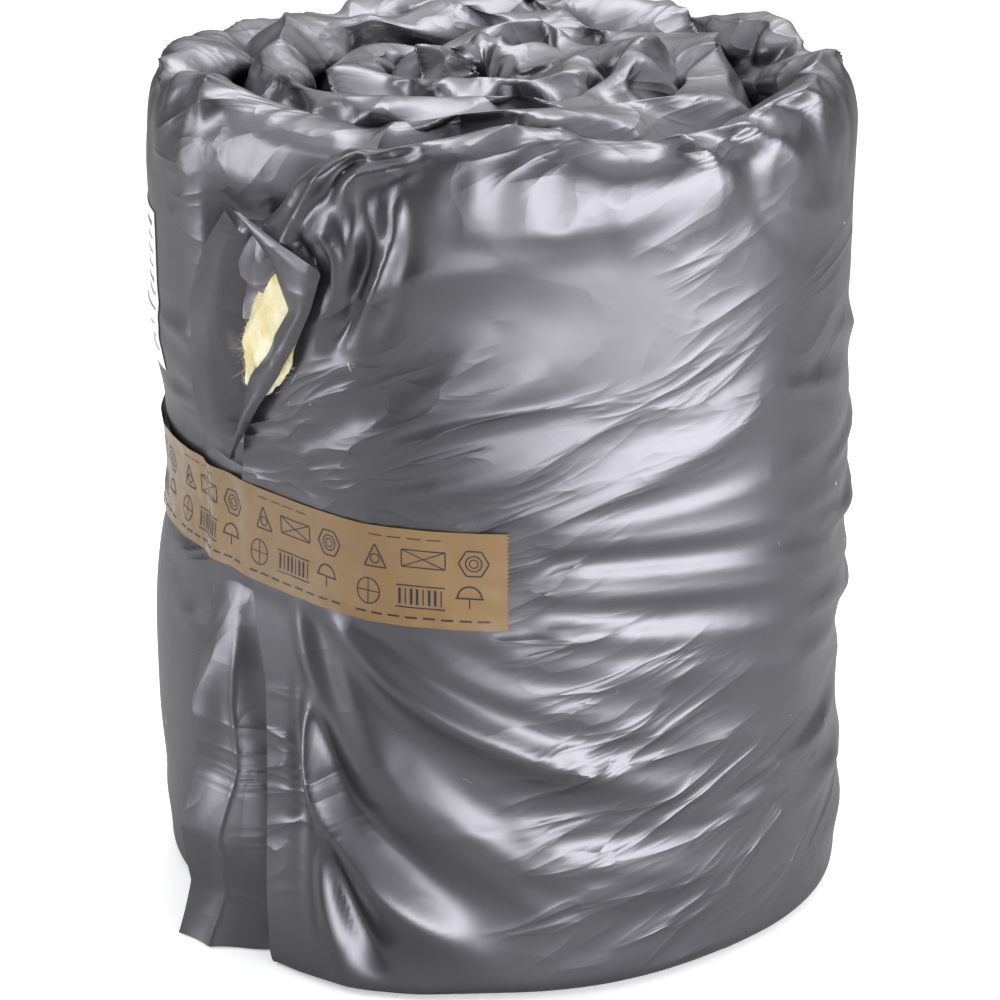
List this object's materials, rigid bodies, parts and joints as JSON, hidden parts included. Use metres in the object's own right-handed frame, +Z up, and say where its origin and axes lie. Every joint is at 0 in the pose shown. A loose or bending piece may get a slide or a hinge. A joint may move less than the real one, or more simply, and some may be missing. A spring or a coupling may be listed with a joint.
{
  "type": "rolled duct insulation sleeve",
  "caption": "Flexible duct insulation sleeve: glass wool in a grey film jacket, pressed flat, wound into an upright roll and taped shut.",
  "frame": {"origin": "middle of the footprint's bounding box, on the floor that the roll stands on", "axes": "+Z up along the roll, -Y towards the front of the roll, with the loose end 40 degrees to its left"},
  "size_m": [0.3672, 0.3944, 0.4363],
  "materials": {
    "jacket_film": "satin metallic grey polythene film",
    "glass_wool": "loose yellow glass fibre",
    "tape_film": "glossy brown packing tape with dark printed pictograms",
    "label_paper": "matt white paper"
  },
  "bodies": {
    "root": {"film_jacket": "jacket_film", "wool_lining": "glass_wool", "packing_tape": "tape_film", "paper_label": "label_paper"}
  },
  "joints": []
}
